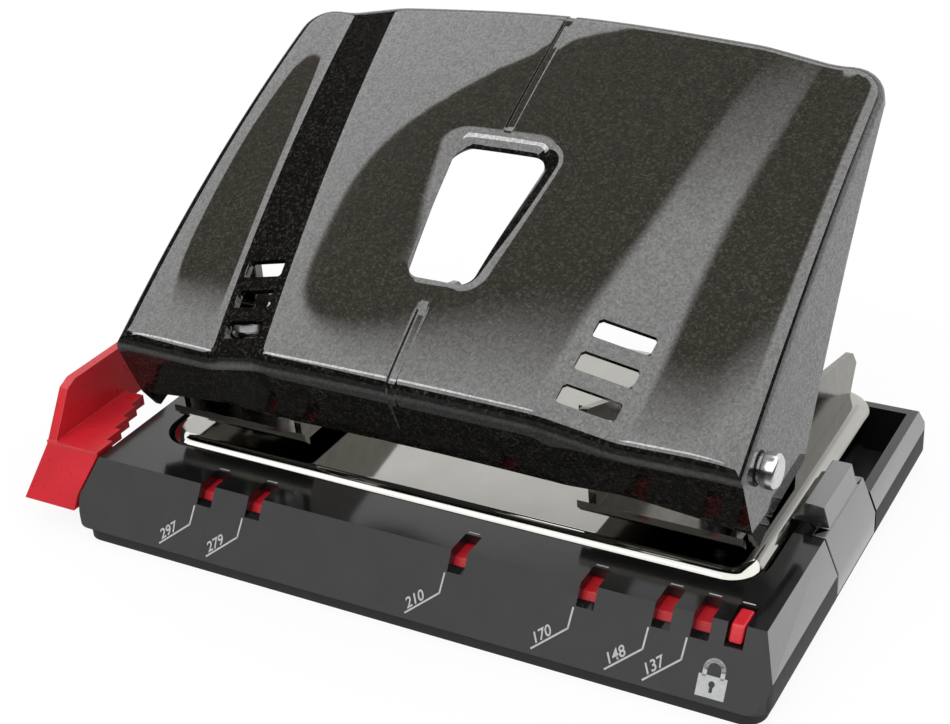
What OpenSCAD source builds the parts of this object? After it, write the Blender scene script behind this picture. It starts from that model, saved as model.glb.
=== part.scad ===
// Two-hole punch for desk use: a chip tray, a pressed deck with two punch units, a pressed lever
// handle and a sliding paper guide. X runs along the paper edge, Y runs to the back, Z is up.
// The origin lies on the table, in the middle of the tray's footprint.

/* [Chip tray] */
// Width of the tray at the table
tray_w = 114; // [110:0.5:122]
// Depth of the tray at the table
tray_d = 75; // [73:0.5:84]
// Height of the rim above the table
rim_h = 12; // [11:0.1:13]
// Drop of the rim behind the latches
rim_drop = 2.6; // [1:0.1:3]
// How far the front face leans back from the table to the rim
front_lean = 6.1; // [4:0.1:8]
// How far each side leans in from its crease to the rim
side_lean = 2.1; // [1:0.1:3]
// How far the rear face leans in
rear_lean = 2.5; // [1.5:0.1:4]
// Height of the crease along each side
crease_h = 6.5; // [5.5:0.1:7.5]
// Wall thickness of the tray
tray_wall = 1.5; // [1.2:0.1:2]
// Thickness of the tray floor
floor_t = 1.5; // [1.2:0.1:2]
// Radius of the upright corners
corner_r = 3; // [2:0.5:6]
// Height of the set-back foot along the table
step_h = 2.6; // [2.2:0.1:3]
// Set-back of the foot
step_in = 1.05; // [0.6:0.05:1.4]
// Width of the rim from the front edge to the deck
front_rim = 8.5; // [8:0.1:10]
// Width of the rim at each side of the deck
side_rim = 4.9; // [4.5:0.1:6]
// Width of the rim behind the deck
rear_rim = 1.8; // [1.7:0.1:3]

/* [Latches] */
// Distance from the front rim edge to the first slit
latch_front = 22.7; // [20:0.1:24]
// Distance between the two slits
latch_w = 18.1; // [16:0.1:20]
// Width of each slit
slit_w = 0.45; // [0.35:0.05:0.6]
// Width of the thumb grip on a latch
grip_w = 12.6; // [8:0.1:14]
// Height of the thumb grip above the rim
grip_h = 3.4; // [2.5:0.1:4]

/* [Deck] */
// Height of the deck above the rim
deck_rise = 0.7; // [0.4:0.1:1]
// Thickness of the deck sheet
deck_t = 1.2; // [1:0.1:1.5]
// Depth of the turned-down deck edge
deck_skirt = 5.9; // [5:0.1:6.2]
// Radius of the deck corners seen from above
deck_corner = 5.5; // [4.5:0.1:7]
// Radius along the deck's upper edges
deck_edge = 3; // [2:0.1:3.5]
// Gap between the deck and the tray rim
deck_gap = 0.4; // [0.3:0.05:0.6]

/* [Punch units] */
// Distance between the two punched holes
hole_pitch = 80; // [79:0.1:81]
// Distance from the paper edge to the hole centres
hole_margin = 12; // [11:0.1:13]
// Diameter of a punch pin
punch_d = 5.5; // [5:0.1:6]
// Height of the paper throat
throat = 2.4; // [2:0.1:3]
// Sheet thickness of the brackets
bracket_t = 1.2; // [1:0.1:1.5]
// Distance across one bracket
bracket_w = 22; // [20:0.1:23]
// Gap between a bracket and the handle's side wall
bracket_gap = 3; // [2.6:0.1:4]
// Height of a bracket's rear end above the deck
bracket_rear = 7.2; // [6:0.1:8]
// Slope of a bracket's upper edge, degrees
bracket_slope = 12.5; // [11:0.1:14]
// Radius of a bracket's ear round the pivot
ear_r = 3.3; // [3:0.1:3.4]
// Diameter of a bracket rivet
rivet_d = 3.2; // [2.5:0.1:4]
// Height of the pin's head
head_t = 2.2; // [1.8:0.1:2.6]
// Diameter of the pin's head
head_d = 8.2; // [8:0.1:8.6]
// Wire thickness of the return spring
wire_d = 0.7; // [0.5:0.05:0.8]
// Turns of the return spring
spring_turns = 5.5; // [4:0.5:6]

/* [Pivot] */
// Distance of the pivot behind the front rim edge
pivot_back = 10.2; // [9.8:0.1:11]
// Height of the pivot above the deck
pivot_up = 16.9; // [16:0.1:18]
// Diameter of the pivot pin's shank
pivot_d = 4; // [3.5:0.1:4.2]
// Diameter of the pivot pin's head
pivot_head_d = 5; // [4.8:0.1:6]
// Length of the pivot pin's head
pivot_head_l = 2.1; // [1.5:0.1:2.5]
// Distance from the pivot to the punch pins
lever_arm = 13.8; // [13:0.1:15]

/* [Handle] */
// Width over the handle's side walls
handle_w = 100.2; // [98:0.1:101]
// How far each side comes in from the front to the rear
rear_in = 0.7; // [0:0.1:1.5]
// Sheet thickness of the handle
handle_t = 1; // [0.8:0.1:1.2]
// Length of the handle's skin from front to rear
handle_l = 71; // [66:0.5:75]
// Radius of the bow from front to rear
handle_bow = 300; // [200:5:500]
// Slope of the skin at its front edge, degrees
front_slope = 36; // [34:0.1:38]
// Distance of the front edge before the pivot
nose_out = 10.1; // [9.8:0.1:11]
// Height of the front edge above the pivot
nose_up = 6.3; // [5.8:0.1:7]
// Crown of the middle panel at the front
crown_front = 0.4; // [0.2:0.1:1.5]
// Crown of the middle panel at the rear
crown_rear = 1.9; // [1:0.1:2.5]
// Half width of the raised panel at the front
panel_half = 21.9; // [21:0.1:24]
// Width of the slanted flank
flank_w = 10.2; // [9:0.1:11]
// Drop from the middle line to the flank's foot at the front
foot_front = 4.4; // [3.6:0.1:5]
// Drop from the middle line to the flank's foot at the rear
foot_rear = 4.1; // [3.4:0.1:4.6]
// Drop from the middle line to the long edge at the front
edge_front = 3.6; // [3:0.1:4.4]
// Drop from the middle line to the long edge at the rear
edge_rear = 4.9; // [4.2:0.1:5.4]
// Spread of the flanks per length of skin
flank_spread = 0.13; // [0.08:0.002:0.14]
// Radius of the long edges
side_r = 2.3; // [1.8:0.1:3]
// Radius of the front and rear folds
fold_r = 2.2; // [1.8:0.1:3]
// Depth of the front flange in the middle
flange_mid = 12.4; // [10:0.1:13]
// Depth of the front flange at its ends
flange_end = 15.6; // [14:0.1:16]
// Lean of the front flange, forward of square to the skin
flange_lean = 14; // [8:0.5:18]
// Depth of the turned-down rear edge below the skin
rear_flange = 4.5; // [3.5:0.1:6]
// Depth of the side wall at its front edge
wall_front = 20.3; // [18:0.1:21.5]
// Depth of the side wall at its deepest point
wall_deep = 28.2; // [26:0.1:29]
// Place of the deepest point along the skin
wall_deep_s = 15; // [12:0.5:17]
// Depth that the side wall tapers to at the rear
wall_rear = 5.3; // [4:0.1:8]
// Least height of the side wall below its long edge
wall_least = 1; // [0.8:0.1:2]
// Place of the window's front edge along the skin
window_s = 16.3; // [15:0.1:18]
// Length of the window
window_l = 27.1; // [24:0.1:29]
// Half width of the window at its front edge
window_half = 5.2; // [4:0.1:6]
// Spread of the window per length of skin
window_spread = 0.08; // [0.04:0.01:0.12]
// Width of the dished border round the window
border_w = 2.1; // [1.5:0.1:2.5]
// Depth of the dished border
border_t = 2; // [1:0.1:2.4]
// Half width of the middle groove
groove_half = 1.3; // [0.8:0.1:1.8]
// Depth of the middle groove
groove_t = 0.5; // [0.3:0.1:0.8]
// Place of the first slot along the skin
slot_s = 5.2; // [4.4:0.1:6.5]
// Distance from one slot to the next
slot_pitch = 5.25; // [4.8:0.05:6]
// Width of a slot along the skin
slot_l = 2.9; // [2.4:0.1:3.4]

/* [Paper guide] */
// Distance from the punch's middle to the stop when parked
parked = 63.76; // [62.8:0.1:66]
// Place of the last window, where the parked guide shows
parked_window = 50.88; // [49.6:0.1:51.2]
// Half sheet lengths that the other windows stand for
half_sheets = [148.5, 139.7, 105, 85, 74, 68.5];
// Width of a window
slit_window_w = 2.6; // [2:0.1:3]
// Reach of a window behind the front edge
window_back = 4.2; // [3:0.1:5]
// Reach of a window below the rim
window_down = 2.7; // [2:0.1:3.2]
// Running gap round the guide bar
guide_gap = 0.3; // [0.25:0.05:0.4]
// Height of the stop above the rim
stop_h = 8.6; // [7:0.1:10]
// Depth of the stop from front to rear
stop_d = 28; // [20:0.5:32]
// Thickness of the stop
stop_t = 1.7; // [1.4:0.1:2]

/* [Hidden] */
$fn = 48;
eps = 0.01;
far = 400;

// Levels and lines that the pieces share
front_y = -tray_d / 2 + front_lean;
rear_y = tray_d / 2 - rear_lean;
rim_x = tray_w / 2 - side_lean;
rear_rim_h = rim_h - rim_drop;
deck_x = rim_x - side_rim;
deck_y0 = front_y + front_rim;
deck_y1 = rear_y - rear_rim;
deck_top = rim_h + deck_rise;
deck_under = deck_top - deck_t;
skirt_z = deck_top - deck_skirt;
web_z = deck_top + throat;
pivot_y = front_y + pivot_back;
pivot_z = deck_top + pivot_up;
punch_x = hole_pitch / 2;
punch_y = pivot_y + lever_arm;
stop_y = punch_y + hole_margin;
fit = 0.05;
latch_y0 = front_y + latch_front;
latch_y1 = latch_y0 + latch_w;

// Outline of a rectangle with round corners, centred on the origin
module round_rect(w, d, r) {
    square([w - 2 * r, d], center = true);
    square([w, d - 2 * r], center = true);
    for (sx = [-1, 1]) {
        for (sy = [-1, 1]) {
            translate([sx * (w / 2 - r), sy * (d / 2 - r)])
                circle(r);
        }
    }
}

// Extrudes an outline drawn in Y and Z along X, from x0 to x1
module along_x(x0, x1) {
    translate([x0, 0, 0])
        rotate([90, 0, 90])
            linear_extrude(x1 - x0)
                children();
}

// Extrudes an outline drawn in X and Z along Y, from y0 to y1
module along_y(y0, y1) {
    translate([0, y1, 0])
        rotate([90, 0, 0])
            linear_extrude(y1 - y0)
                children();
}

// A copy of a right-hand piece on the left
module left_of() {
    mirror([1, 0, 0])
        children();
}

// Place of the front face at a height above the table
function front_face(z) = -tray_d / 2 + (z - step_h) * front_lean / (rim_h - step_h);

// Side of the tray at a height above the crease
function side_face(z) = tray_w / 2 - max(0, z - crease_h) * side_lean / (rim_h - crease_h);

// Chip tray

front_wall = tray_wall * 1.2;
bar_z0 = step_h + 3.2;
bar_z1 = rim_h - tray_wall - guide_gap;
bar_back = deck_y0 - 2.6;
channel_end = parked_window + slit_window_w / 2 + 0.6;
post_w = 4;
window_xs = [for (h = half_sheets) parked_window - (h - parked), parked_window];

module tray_profile() {
    polygon([
        [-tray_d / 2 + step_in, 0], [-tray_d / 2 + step_in, step_h], [-tray_d / 2, step_h],
        [front_y, rim_h], [latch_y1, rim_h], [latch_y1, rear_rim_h], [rear_y, rear_rim_h],
        [tray_d / 2, step_h], [tray_d / 2 - step_in, step_h], [tray_d / 2 - step_in, 0]]);
}

module side_profile(inset) {
    foot = tray_w / 2 - inset;
    polygon([
        [-foot + step_in, 0], [-foot + step_in, step_h], [-foot, step_h], [-foot, crease_h],
        [inset - rim_x, rim_h], [rim_x - inset, rim_h], [foot, crease_h], [foot, step_h],
        [foot - step_in, step_h], [foot - step_in, 0]]);
}

module tray_block() {
    intersection() {
        along_x(-tray_w, tray_w)
            tray_profile();
        along_y(-tray_d, tray_d)
            side_profile(0);
        union() {
            linear_extrude(step_h)
                round_rect(tray_w - 2 * step_in, tray_d - 2 * step_in, corner_r);
            translate([0, 0, step_h])
                linear_extrude(rim_h)
                    round_rect(tray_w, tray_d, corner_r);
        }
    }
}

// Space for chips under the deck, behind the guide channel
module chip_space() {
    back = bar_back + tray_wall;
    intersection() {
        translate([-tray_w, back, floor_t])
            cube([2 * tray_w, rear_y - tray_wall - back, rim_h - tray_wall - floor_t]);
        along_y(-tray_d, tray_d)
            side_profile(tray_wall);
    }
    translate([0, (deck_y0 + deck_y1) / 2, floor_t])
        linear_extrude(rim_h)
            round_rect(2 * (deck_x + deck_gap), deck_y1 - deck_y0 + 2 * deck_gap, deck_corner + deck_gap);
}

// Outline of the guide bar, or of its channel when grown by a gap
module bar_profile(grow) {
    z0 = bar_z0 - grow;
    z1 = bar_z1 + grow;
    inset = front_wall + guide_gap - grow;
    polygon([
        [front_face(z0) + inset, z0], [front_face(z1) + inset, z1],
        [bar_back + grow - guide_gap, z1], [bar_back + grow - guide_gap, z0]]);
}

module latch_gap(grow) {
    translate([deck_x + deck_gap, latch_y0 + slit_w - grow, step_h])
        cube([tray_w, latch_w - 2 * slit_w + 2 * grow, 2 * rim_h]);
}

module chip_tray() {
    color("#2b2a2a") {
        difference() {
            tray_block();
            chip_space();
            along_x(-tray_w, channel_end)
                bar_profile(guide_gap);
            for (x = window_xs) {
                translate([x - slit_window_w / 2, -tray_d, rim_h - window_down])
                    cube([slit_window_w, tray_d + front_y + window_back, rim_h]);
            }
            latch_gap(slit_w);
            left_of()
                latch_gap(slit_w);
        }
        // Posts that carry the deck's turned-down edge
        for (x = [-deck_x * 0.6, -deck_x * 0.2, deck_x * 0.2, deck_x * 0.6]) {
            for (y = [deck_y0 + deck_t / 2, deck_y1 - deck_t / 2]) {
                translate([x - post_w / 2, y - deck_t, floor_t - eps])
                    cube([post_w, 2 * deck_t, skirt_z - floor_t + eps]);
            }
        }
    }
}

// Latches: sprung tongues of the tray's sides that hook over the deck's edge

latch_t = tray_wall;
latch_foot = step_h + 0.3;
hook_x = deck_x - 0.7;
hook_z = deck_top - 0.45;
hook_t = 1.3;
grip_d = 4;
grip_x = rim_x - grip_d;
latch_pivot_x = tray_w / 2 - latch_t;

module latch_profile() {
    polygon([
        [tray_w / 2, latch_foot], [tray_w / 2, crease_h], [rim_x, rim_h],
        [rim_x - latch_t - 0.5, rim_h], [tray_w / 2 - latch_t - 0.2, crease_h],
        [tray_w / 2 - latch_t - 0.2, latch_foot]]);
}

module grip_profile() {
    polygon([
        [rim_x - 0.2, rim_h], [rim_x - 1.1, rim_h + grip_h], [grip_x, rim_h + grip_h],
        [grip_x, hook_z + hook_t], [hook_x, hook_z + hook_t * 0.6], [hook_x, hook_z],
        [grip_x, hook_z], [rim_x - latch_t - 0.4, rim_h - 0.8], [rim_x - latch_t, rim_h - 2]]);
}

module right_latch() {
    color("#2b2a2a") {
        along_y(latch_y0 + slit_w, latch_y1 - slit_w)
            latch_profile();
        along_y((latch_y0 + latch_y1 - grip_w) / 2, (latch_y0 + latch_y1 + grip_w) / 2)
            grip_profile();
    }
}

module left_latch() {
    left_of()
        right_latch();
}

// Paper guide

head_gap = 0.4;
head_low = step_h + 1.7;
head_t2 = 2;
shelf_z = deck_top - 0.1;
shelf_t = 1.8;
shelf_d = 18;
teeth = 4;
wall_flare = 2;
travel = max(half_sheets) - parked;

// Outline of the head seen from the front, clear of the tray's side
module head_outline() {
    z1 = rim_h + stop_h;
    polygon([
        [-parked - stop_t - wall_flare, head_low],
        [-side_face(head_low) - head_gap, head_low],
        [-side_face(crease_h) - head_gap, crease_h],
        [-rim_x - head_gap, rim_h], [-rim_x - head_gap, z1],
        [-parked - stop_t, z1], [-parked - stop_t, rim_h]]);
}

module shelf_outline() {
    x1 = -rim_x - head_gap;
    y1 = front_y + shelf_d;
    step_y = (shelf_d - 4) / teeth;
    step_x = 1.2;
    polygon(concat(
        [[-parked - stop_t, y1], [-parked - stop_t, front_y], [x1, front_y], [x1, front_y + 4]],
        [for (i = [0 : teeth - 1])
            for (k = [0, 1])
                [x1 - step_x * (i + 1), front_y + 4 + step_y * (i + k)]]));
}

module paper_guide() {
    color("#b0242c") {
        along_x(-parked - stop_t, parked_window + slit_window_w / 2 - 0.2)
            bar_profile(0);
        intersection() {
            along_y(-tray_d, tray_d)
                head_outline();
            union() {
                // Front plate that carries the tray's slope on
                along_x(-tray_w, tray_w)
                    polygon([
                        [front_face(head_low), head_low], [front_y, rim_h],
                        [front_y + head_t2, rim_h], [front_face(head_low) + head_t2, head_low]]);
                // Stop for the paper edge and the wall below it
                translate([-tray_w - parked, 0, 0])
                    along_x(0, tray_w)
                        polygon([
                            [front_face(head_low), head_low], [front_y, rim_h],
                            [front_y + 5, rim_h + stop_h - 0.9], [front_y + 7, rim_h + stop_h],
                            [front_y + stop_d - 2, rim_h + stop_h], [front_y + stop_d, rim_h + stop_h - 2],
                            [front_y + stop_d, shelf_z - shelf_t], [front_y + shelf_d, shelf_z - shelf_t],
                            [front_y + 8, head_low]]);
                // Shelf level with the deck, with a stepped edge
                translate([0, 0, shelf_z - shelf_t])
                    linear_extrude(shelf_t)
                        shelf_outline();
            }
        }
    }
}

// Sprung tongue on the guide bar that stands up in a window
module guide_click() {
    w = slit_window_w - 2 * guide_gap;
    low = rim_h - window_down + guide_gap;
    high = rim_h - 0.2;
    color("#b0242c")
        along_x(parked_window - w / 2, parked_window + w / 2)
            polygon([
                [front_face(low) + guide_gap, low], [front_face(high) + guide_gap, high],
                [front_y + window_back - guide_gap, high], [front_y + window_back - guide_gap, bar_z1],
                [front_face(bar_z1) + front_wall + guide_gap, bar_z1],
                [front_face(low) + front_wall + guide_gap, low]]);
}

// Deck

// Outline of a plate's edge: square below, round above
module soft_edge(w, h, r) {
    translate([-w / 2, 0])
        square([w, h - r]);
    translate([r - w / 2, 0])
        square([w - 2 * r, h]);
    for (s = [-1, 1]) {
        translate([s * (w / 2 - r), h - r])
            circle(r);
    }
}

// A plate with round corners and round upper edges
module soft_plate(w, d, h, corner, edge) {
    intersection() {
        along_x(-w / 2, w / 2)
            soft_edge(d, h, edge);
        along_y(-d / 2, d / 2)
            soft_edge(w, h, edge);
        linear_extrude(h)
            round_rect(w, d, corner);
    }
}

deck_w = 2 * deck_x;
deck_d = deck_y1 - deck_y0;

module deck_plate() {
    color("#b9b6ae")
        difference() {
            translate([0, (deck_y0 + deck_y1) / 2, skirt_z])
                difference() {
                    soft_plate(deck_w, deck_d, deck_skirt, deck_corner, deck_edge);
                    translate([0, 0, -deck_edge])
                        soft_plate(deck_w - 2 * deck_t, deck_d - 2 * deck_t,
                            deck_skirt - deck_t + deck_edge, deck_corner - deck_t, deck_edge - deck_t);
                }
            for (s = [-1, 1]) {
                translate([s * punch_x, punch_y, skirt_z])
                    cylinder(h = far, d = punch_d + 2 * fit);
                for (y = rivet_ys) {
                    translate([s * bracket_mid, y, skirt_z])
                        cylinder(h = far, d = rivet_d);
                }
            }
        }
}

// Brackets: folded channels that leave the paper throat open at the front

bracket_x1 = handle_w / 2 - handle_t - bracket_gap;
bracket_x0 = bracket_x1 - bracket_w;
bracket_mid = (bracket_x0 + bracket_x1) / 2;
bracket_y0 = pivot_y + 1.8;
bracket_y1 = deck_y1 - deck_edge;
rivet_shares = [0.289, 0.781];
rivet_ys = [for (share = rivet_shares) stop_y + share * (bracket_y1 - stop_y)];
lip_out = 1.3;
ear_end = bracket_y1 + 2.6;
ear_rear_z = deck_top + bracket_rear;
ear_bend = 12;
bush_body_r = punch_d / 2 + 1.1;
bush_flange_r = punch_d / 2 + 1.8;
bush_flange_t = 1.2;

// Height of a bracket's upper edge
function ear_top(y) = ear_rear_z + (ear_end - 2 - y) * tan(bracket_slope);

module ear_outline() {
    difference() {
        union() {
            translate([pivot_y, pivot_z])
                circle(ear_r);
            polygon([
                [bracket_y0, web_z], [bracket_y0 - 0.4, pivot_z - 2.1 * ear_r],
                [pivot_y - ear_r * 0.35, pivot_z - ear_r * 0.9],
                [pivot_y + ear_r * sin(bracket_slope), pivot_z + ear_r * cos(bracket_slope)],
                [pivot_y + ear_bend, ear_top(pivot_y + ear_bend)],
                [ear_end - 2, ear_rear_z], [ear_end, ear_rear_z - 2.6],
                [bracket_y1, deck_top], [stop_y, deck_top], [stop_y, web_z]]);
        }
        translate([pivot_y, pivot_z])
            circle(pivot_d / 2 + fit);
    }
}

// Floor of a bracket: on the deck behind the paper stop, raised over the throat before it
module web_outline() {
    polygon([
        [bracket_y0, web_z], [stop_y, web_z], [stop_y, deck_top], [bracket_y1, deck_top],
        [bracket_y1, deck_top + bracket_t], [stop_y + bracket_t, deck_top + bracket_t],
        [stop_y + bracket_t, web_z + bracket_t], [bracket_y0, web_z + bracket_t],
        [bracket_y0 - 1.2, web_z + bracket_t + 1.2], [bracket_y0 - 1.2, web_z + 1.2]]);
}

module right_bracket() {
    color("#3b3936")
        difference() {
            union() {
                along_x(bracket_x0, bracket_x0 + bracket_t)
                    ear_outline();
                along_x(bracket_x1 - bracket_t, bracket_x1)
                    ear_outline();
                along_x(bracket_x0, bracket_x1)
                    web_outline();
                // Lead-in lip, a little wider than the channel
                along_x(bracket_x0 - lip_out, bracket_x1 + lip_out)
                    polygon([
                        [bracket_y0, web_z], [bracket_y0, web_z + bracket_t],
                        [bracket_y0 - 1.2, web_z + bracket_t + 1.2], [bracket_y0 - 1.2, web_z + 1.2]]);
            }
            translate([punch_x, punch_y, deck_top])
                cylinder(h = throat + 2 * bracket_t, r = bush_body_r);
            for (y = rivet_ys) {
                translate([bracket_mid, y, deck_top - eps])
                    cylinder(h = bracket_t + 2 * eps, d = rivet_d);
            }
        }
}

module left_bracket() {
    left_of()
        right_bracket();
}

// Rivets that hold the brackets on the deck
module bracket_rivets() {
    top = deck_top + bracket_t;
    head_r = rivet_d * 0.9;
    color("#8d8a84")
        for (s = [-1, 1]) {
            for (y = rivet_ys) {
                translate([s * bracket_mid, y, 0])
                    rotate_extrude()
                        polygon([
                            [0, deck_under - 1], [head_r * 0.8, deck_under - 1], [head_r * 0.9, deck_under],
                            [rivet_d / 2, deck_under], [rivet_d / 2, top], [head_r, top],
                            [head_r, top + 0.4], [head_r * 0.6, top + 1.1], [0, top + 1.25]]);
            }
        }
}

// Pivot pins and their clips

clip_t = 0.7;
clip_x = bracket_x0 - 0.3 - clip_t;
groove_r = pivot_d / 2 - 0.5;
clip_r = ear_r - 0.1;

module right_pivot_pin() {
    tip = clip_x - 0.9;
    head = handle_w / 2 + 0.3;
    color("#b9bfc2")
        translate([0, pivot_y, pivot_z])
            rotate([0, 90, 0])
                rotate_extrude()
                    polygon([
                        [0, tip], [pivot_d / 2 - 0.3, tip], [pivot_d / 2, tip + 0.3],
                        [pivot_d / 2, clip_x - fit], [groove_r, clip_x - fit],
                        [groove_r, clip_x + clip_t + fit], [pivot_d / 2, clip_x + clip_t + fit],
                        [pivot_d / 2, head], [pivot_head_d / 2, head],
                        [pivot_head_d / 2, head + pivot_head_l - 0.4],
                        [pivot_head_d / 2 - 0.4, head + pivot_head_l], [0, head + pivot_head_l]]);
}

module left_pivot_pin() {
    left_of()
        right_pivot_pin();
}

module clip_ring() {
    along_x(clip_x, clip_x + clip_t)
        translate([pivot_y, pivot_z])
            difference() {
                circle(clip_r);
                circle(groove_r + fit);
                translate([-groove_r, 0])
                    square([2 * groove_r, 2 * clip_r]);
            }
}

module pivot_clips() {
    color("#77767a") {
        clip_ring();
        left_of()
            clip_ring();
    }
}

// Guide bushes, punch pins and return springs

bush_top = web_z + bracket_t + bush_flange_t;
presser_r = 2;
touch_gap = 0.2;
head_top = pivot_z - touch_gap;
head_low_z = head_top - head_t;
tip_z = web_z + 0.3;

module right_bush() {
    color("#a9a59c")
        translate([punch_x, punch_y, 0])
            rotate_extrude()
                polygon([
                    [punch_d / 2 + fit, web_z], [bush_body_r, web_z], [bush_body_r, web_z + bracket_t],
                    [bush_flange_r, web_z + bracket_t], [bush_flange_r, bush_top],
                    [punch_d / 2 + fit, bush_top]]);
}

module left_bush() {
    left_of()
        right_bush();
}

module right_punch_pin() {
    notch = punch_d * 0.28;
    color("#c4c6c7")
        translate([punch_x, punch_y, 0])
            difference() {
                rotate_extrude()
                    polygon([
                        [0, tip_z], [punch_d / 2, tip_z], [punch_d / 2, head_low_z],
                        [head_d / 2, head_low_z], [head_d / 2, head_top - 0.7],
                        [head_d / 2 - 0.7, head_top], [0, head_top]]);
                // Hollow-ground cutting edge
                translate([0, 0, tip_z - notch * 0.3])
                    rotate([90, 45, 0])
                        cube([notch * 1.6, notch * 1.6, 2 * punch_d], center = true);
            }
}

module left_punch_pin() {
    left_of()
        right_punch_pin();
}

coil_r = punch_d / 2 + 0.45 + wire_d / 2;
coil_z0 = bush_top + wire_d / 2 + fit;
coil_z1 = head_low_z - wire_d / 2 - fit;
coil_steps = 8;
wire_sides = 6;
rings = spring_turns * coil_steps;
coil_pitch = (coil_z1 - coil_z0) / spring_turns;

function coil_point(k, side) =
    let (turn = 360 * k / coil_steps)
    let (around = 360 * side / wire_sides)
    let (r = coil_r + wire_d / 2 * cos(around))
    [r * cos(turn), r * sin(turn),
        coil_z0 + coil_pitch * k / coil_steps + wire_d / 2 * sin(around)];

coil_points = [for (k = [0 : rings]) for (side = [0 : wire_sides - 1]) coil_point(k, side)];

coil_faces = concat(
    [for (k = [0 : rings - 1])
        for (side = [0 : wire_sides - 1])
            let (a = k * wire_sides + side)
            let (b = k * wire_sides + (side + 1) % wire_sides)
            for (t = [[a, b, b + wire_sides], [a, b + wire_sides, a + wire_sides]])
                t],
    [for (side = [1 : wire_sides - 2]) [0, side + 1, side]],
    [for (side = [1 : wire_sides - 2]) [rings * wire_sides, rings * wire_sides + side, rings * wire_sides + side + 1]]);

// Least gap between two neighbouring curls, measured on the wire's points
coil_gap = min([
    for (k = [0 : rings - coil_steps])
        for (a = [0 : wire_sides - 1])
            for (b = [0 : wire_sides - 1])
                norm(coil_point(k, a) - coil_point(k + coil_steps, b))]);
echo(least_gap_between_curls = coil_gap);

module right_spring() {
    color("#9fa3a6")
        translate([punch_x, punch_y, 0])
            polyhedron(coil_points, coil_faces);
}

module left_spring() {
    color("#9fa3a6")
        translate([-punch_x, punch_y, 0])
            polyhedron(coil_points, coil_faces);
}

// Handle: one pressed sheet, laid out on a grid of lines across and along the skin

nose_y = pivot_y - nose_out;
nose_z = pivot_z + nose_up;
bow_y = nose_y + handle_bow * sin(front_slope);
bow_z = nose_z - handle_bow * cos(front_slope);
half_w = handle_w / 2;
window_end = window_s + window_l;
ridge = 20;
fold_steps = 3;
rear_s = handle_l - fold_r;

// Slope of the skin at a distance behind the front edge
function slope(s) = front_slope - s / handle_bow * 180 / PI;

// Directions along and off the skin, in Y and Z
function tangent(s) = [cos(slope(s)), sin(slope(s))];
function off_skin(s) = [-sin(slope(s)), cos(slope(s))];

// A point of the side view: s along the skin, n off the skin
function skin(s, n) = [bow_y, bow_z] + (handle_bow + n) * off_skin(s);

// Share of the way from a front value to a rear value
function blend(a, b, s) = a + (b - a) * s / handle_l;

// Depth of the side wall below the skin's middle line
function wall_depth(s) =
    s < wall_deep_s
        ? wall_front + (wall_deep - wall_front) * s / wall_deep_s
        : max(
            wall_deep + (wall_rear - wall_deep) * (s - wall_deep_s) / (handle_l - wall_deep_s),
            blend(edge_front, edge_rear, s) + side_r + wall_least);

// Half width over the side walls, which come in a little towards the rear
function half_at(s) = half_w - rear_in * s / handle_l;

// Lines along the skin, counted from the middle: groove, window, border, panel, flank, edge, wall
line_count = 11;
edge_line = 7;

function window_x(s) = window_half + (s - window_s) * window_spread;
function panel_x(s) = panel_half + s * flank_spread;

function flat_x(k, s) =
    k == 0 ? 0 :
    k == 1 ? groove_half :
    k == 2 ? window_x(s) :
    k == 3 ? window_x(s) + border_w :
    k == 4 ? (window_x(s) + border_w + panel_x(s)) / 2 :
    k == 5 ? panel_x(s) :
    k == 6 ? panel_x(s) + flank_w :
    half_at(s) - side_r;

// Shape of the crown: a soft ridge in the middle that runs straight to the flanks
function crown_share(x, end) = (norm([x, ridge]) - ridge) / (norm([end, ridge]) - ridge);

function flat_n(k, s) =
    let (crown = blend(crown_front, crown_rear, s))
    k <= 5 ? -crown * crown_share(flat_x(k, s), panel_x(s)) :
    k == 6 ? -blend(foot_front, foot_rear, s) :
    -blend(edge_front, edge_rear, s);

// Rows across the skin: front flange, front fold, skin, rear fold, rear flange
skin_s = concat(
    [fold_r, (fold_r + window_s - border_w) / 2, window_s - border_w, window_s],
    [for (i = [1 : 3]) window_s + window_l * i / 4],
    [window_end, window_end + border_w],
    [for (i = [1 : 3]) window_end + border_w + (rear_s - window_end - border_w) * i / 3]);
first_row = fold_steps + 1;
last_row = first_row + len(skin_s) - 1;
row_count = last_row + fold_steps + 1;
window_row0 = first_row + 3;
window_row1 = first_row + 7;

function row_s(j) =
    j < first_row ? 0 :
    j > last_row ? handle_l :
    skin_s[j - first_row];

// Pressed marks of the middle: the groove, and the dish round the window
function mark(k, j) =
    k <= 2 && j >= window_row0 && j <= window_row1 ? -border_t :
    k == 0 ? -groove_t :
    0;

function flange_depth(x) = flange_mid + (flange_end - flange_mid) * pow(x / (half_w - side_r), 2);

// A point of the sheet, with inner = 0 outside and inner = handle_t inside
function front_point(k, j, x, inner) =
    let (t = tangent(0))
    let (n = off_skin(0))
    let (turn = 90 * (first_row - j) / fold_steps)
    let (r = fold_r - inner)
    let (foot = [nose_y, nose_z])
    j == 0
        ? concat([x], foot + inner * t - flange_depth(x) * (n + tan(flange_lean) * t))
        : concat([x], foot + (fold_r - r * sin(turn)) * t
            + (flat_n(k, 0) - fold_r + r * cos(turn)) * n);

function rear_point(k, j, x, inner) =
    let (t = tangent(handle_l))
    let (n = off_skin(handle_l))
    let (turn = 90 * (j - last_row) / fold_steps)
    let (r = fold_r - inner)
    let (foot = skin(handle_l, 0))
    j == row_count
        ? concat([x], foot - inner * t + (flat_n(k, handle_l) - rear_flange) * n)
        : concat([x], foot - (fold_r - r * sin(turn)) * t
            + (flat_n(k, handle_l) - fold_r + r * cos(turn)) * n);

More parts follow.
